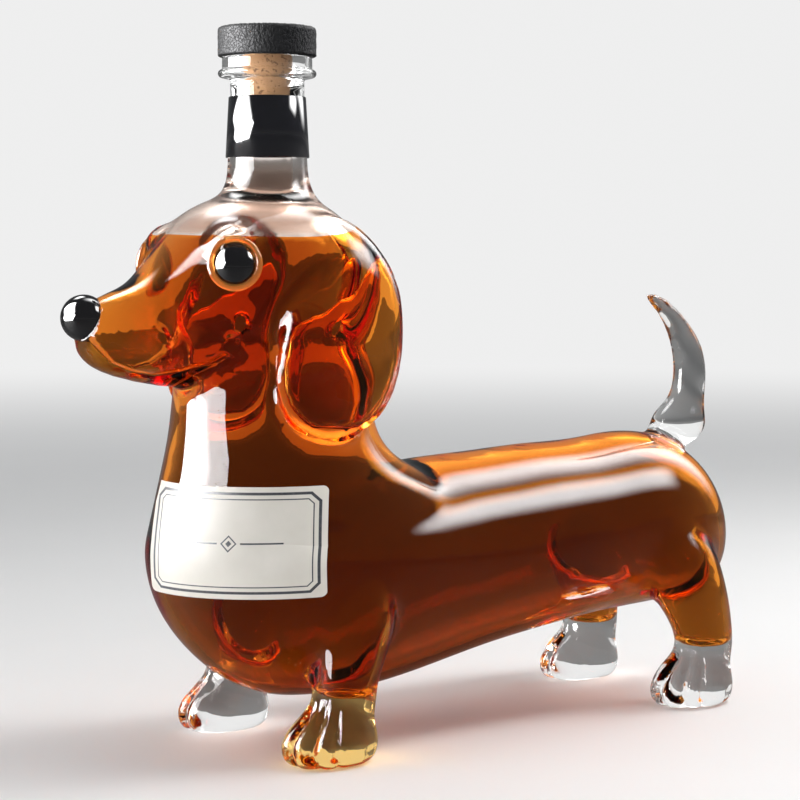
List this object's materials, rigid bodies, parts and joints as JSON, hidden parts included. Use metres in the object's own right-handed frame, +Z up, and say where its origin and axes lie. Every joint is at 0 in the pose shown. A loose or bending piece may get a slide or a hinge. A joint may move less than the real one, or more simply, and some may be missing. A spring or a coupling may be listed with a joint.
{
  "type": "figural liquor decanter",
  "caption": "Clear glass bottle shaped as a standing long-bodied dog, filled with amber liquor, with a short neck on the head and a corked stopper.",
  "frame": {"origin": "on the table plane, midway between nose tip and rump and on the middle plane", "axes": "+X from nose to rump, +Y to the dog's right, +Z up along the bottle neck"},
  "size_m": [0.3002, 0.102, 0.2629],
  "materials": {
    "clear_glass": "polished clear",
    "liquor": "clear dark amber liquid",
    "black_glass": "polished opaque black",
    "band_film": "gloss black",
    "label_paper": "matt paper, off-white",
    "cap_leather": "black pebble grain",
    "cork": "natural cork"
  },
  "bodies": {
    "vessel": {"glass_vessel": "clear_glass", "glass_head": "clear_glass", "bottle_neck": "clear_glass", "liquor": "liquor", "ear_left": "clear_glass", "ear_right": "clear_glass", "eye_left": "black_glass", "eye_right": "black_glass", "eye_rim_left": "clear_glass", "eye_rim_right": "clear_glass", "nose": "black_glass", "tail": "clear_glass", "leg_front_left": "clear_glass", "leg_front_right": "clear_glass", "leg_hind_left": "clear_glass", "leg_hind_right": "clear_glass", "paw_front_left": "clear_glass", "paw_front_right": "clear_glass", "paw_hind_left": "clear_glass", "paw_hind_right": "clear_glass", "neck_band": "band_film", "chest_label": "label_paper"},
    "stopper": {"stopper_cap": "cap_leather", "cork_shank": "cork"}
  },
  "joints": [
    {"name": "stopper_lift", "type": "slide", "parent": "vessel", "child": "stopper", "axis": [0, 0, 1], "range_m": [0, 0.03]}
  ]
}
